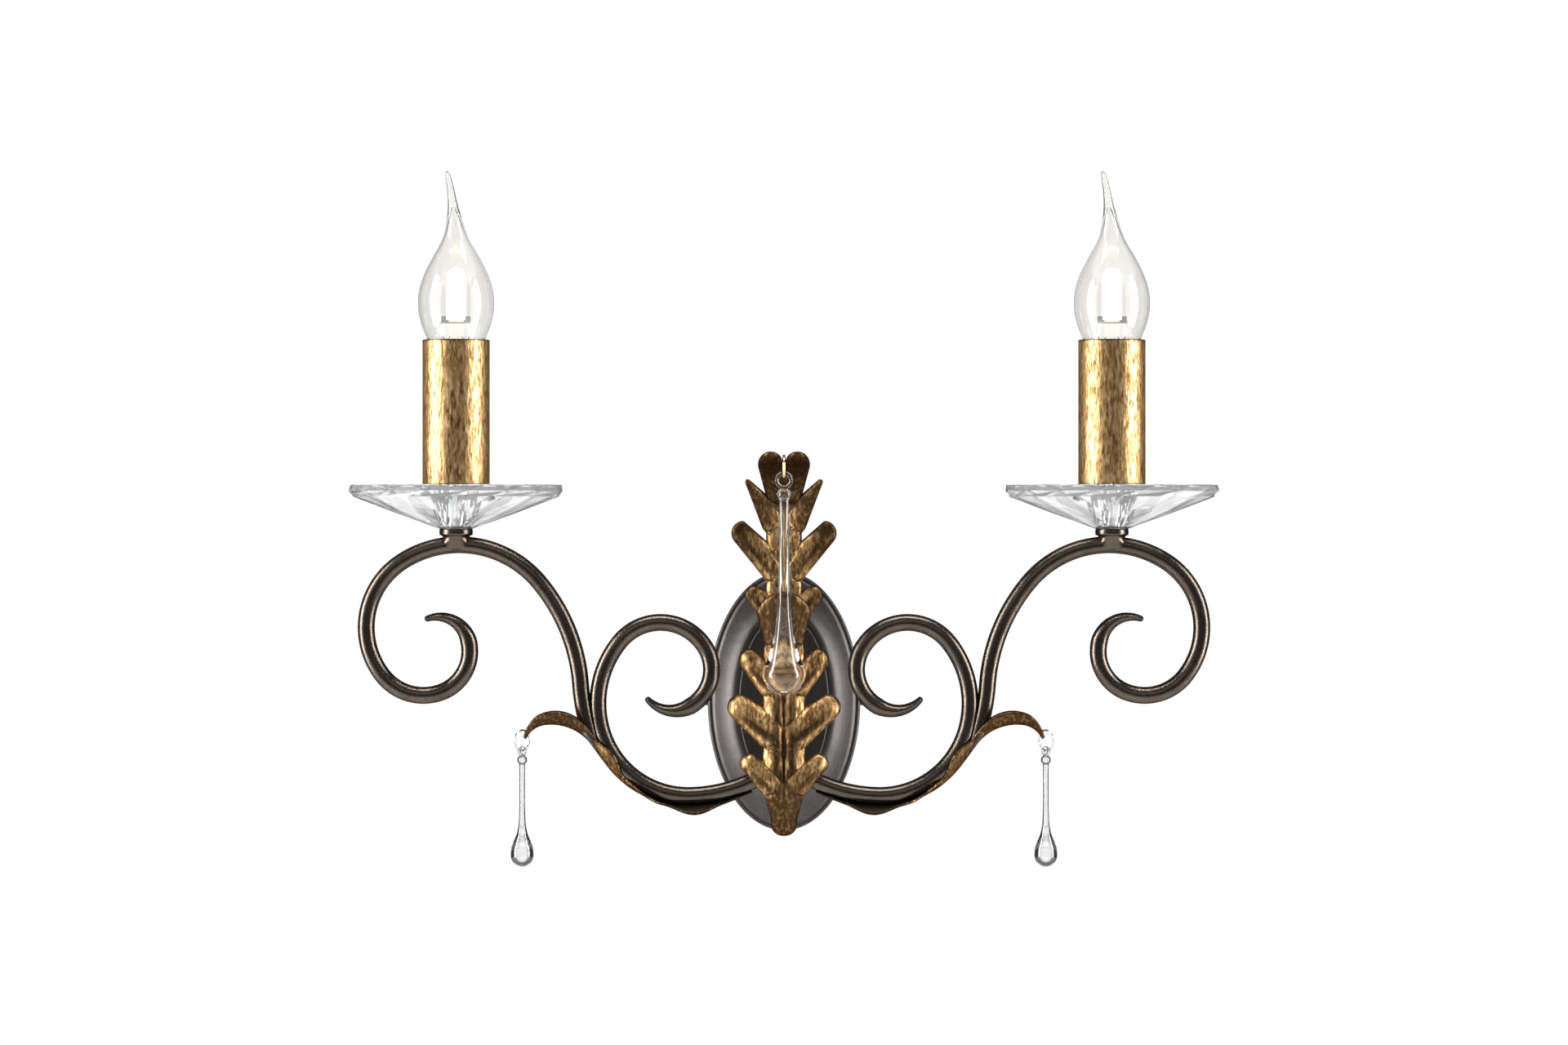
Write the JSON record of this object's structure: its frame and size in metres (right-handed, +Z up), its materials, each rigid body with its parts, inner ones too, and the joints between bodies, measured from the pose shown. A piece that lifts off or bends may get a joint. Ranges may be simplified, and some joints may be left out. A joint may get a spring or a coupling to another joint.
{
  "type": "wall lamp",
  "caption": "Candle-style wall lamp with scrolled bronze arms, gilt oak-like leaves, faceted glass pans and hanging glass drops on an oval wall plate.",
  "frame": {"origin": "centre of the oval plate's back, on the wall plane", "axes": "+Z up, +X to the right seen from the front, +Y into the wall"},
  "size_m": [0.4038, 0.1243, 0.3236],
  "materials": {
    "bronze": "satin dark bronze",
    "antique_gold": "antique, brushed and mottled",
    "gold_wire": "polished",
    "silver_wire": "polished",
    "clear_glass": "cut and polished",
    "bulb_glass": "clear",
    "steel": "zinc plated",
    "nickel": "nickel plated",
    "brass_contact": "bare",
    "holder_plastic": "matte",
    "capsule_white": "frosted",
    "core_brown": "insulation",
    "core_blue": "insulation",
    "core_green": "insulation"
  },
  "bodies": {
    "lamp": {"backplate": "bronze", "backplate_screws": "bronze", "arm_hub": "bronze", "inner_scroll_left": "bronze", "inner_scroll_right": "bronze", "outer_scroll_left": "bronze", "outer_scroll_right": "bronze", "pan_collar_left": "bronze", "pan_collar_right": "bronze", "sleeve_seat_left": "bronze", "sleeve_seat_right": "bronze", "lower_leaf": "antique_gold", "upper_leaf": "antique_gold", "arm_leaf_left": "antique_gold", "arm_leaf_right": "antique_gold", "candle_sleeve_left": "antique_gold", "candle_sleeve_right": "antique_gold", "drip_pan_left": "clear_glass", "drip_pan_right": "clear_glass", "pan_spacer_left": "clear_glass", "pan_spacer_right": "clear_glass", "wall_bracket": "steel", "hub_nipple": "steel", "hub_nut": "steel", "earth_screw": "steel", "terminal_screws": "steel", "candle_stud_left": "steel", "candle_stud_right": "steel", "socket_shell_left": "brass_contact", "socket_shell_right": "brass_contact", "centre_contact_left": "brass_contact", "centre_contact_right": "brass_contact", "terminal_block": "holder_plastic", "lamp_holder_left": "holder_plastic", "lamp_holder_right": "holder_plastic", "live_core": "core_brown", "neutral_core": "core_blue", "earth_core": "core_green"},
    "hook": {"centre_hook": "gold_wire"},
    "centre_pendant": {"centre_drop": "clear_glass"},
    "bulb_left": {"bulb_glass_left": "bulb_glass", "bulb_cap_left": "nickel", "bulb_contact_left": "nickel", "bulb_stem_left": "bulb_glass", "bulb_capsule_left": "capsule_white", "bulb_leads_left": "steel"},
    "ring_left": {"side_ring_left": "silver_wire"},
    "pendant_left": {"side_drop_left": "clear_glass"},
    "bulb_right": {"bulb_glass_right": "bulb_glass", "bulb_cap_right": "nickel", "bulb_contact_right": "nickel", "bulb_stem_right": "bulb_glass", "bulb_capsule_right": "capsule_white", "bulb_leads_right": "steel"},
    "ring_right": {"side_ring_right": "silver_wire"},
    "pendant_right": {"side_drop_right": "clear_glass"}
  },
  "joints": [
    {"name": "bulb_left_pull", "type": "slide", "parent": "lamp", "child": "bulb_left", "axis": [0, 0, 1], "range_m": [0, 0.06]},
    {"name": "bulb_right_pull", "type": "slide", "parent": "lamp", "child": "bulb_right", "axis": [0, 0, 1], "range_m": [0, 0.06]},
    {"name": "centre_hook_swing", "type": "hinge", "parent": "lamp", "child": "hook", "pos_m": [0, -0.08678, 0.11381], "axis": [1, 0, 0], "range_deg": [-30, 2]},
    {"name": "centre_drop_swing", "type": "hinge", "parent": "hook", "child": "centre_pendant", "pos_m": [0, -0.0913, 0.10685], "axis": [0, 1, 0], "range_deg": [-16, 16]},
    {"name": "side_ring_left_swing", "type": "hinge", "parent": "lamp", "child": "ring_left", "pos_m": [-0.11943, -0.075, -0.01232], "axis": [0.766, -0.6428, 0], "range_deg": [-15, 15]},
    {"name": "side_drop_left_swing", "type": "hinge", "parent": "ring_left", "child": "pendant_left", "pos_m": [-0.12176, -0.07777, -0.02027], "axis": [-0.6428, -0.766, 0], "range_deg": [-25, 25]},
    {"name": "side_ring_right_swing", "type": "hinge", "parent": "lamp", "child": "ring_right", "pos_m": [0.11943, -0.075, -0.01232], "axis": [-0.766, -0.6428, 0], "range_deg": [-15, 15]},
    {"name": "side_drop_right_swing", "type": "hinge", "parent": "ring_right", "child": "pendant_right", "pos_m": [0.12176, -0.07777, -0.02027], "axis": [0.6428, -0.766, 0], "range_deg": [-25, 25]}
  ]
}
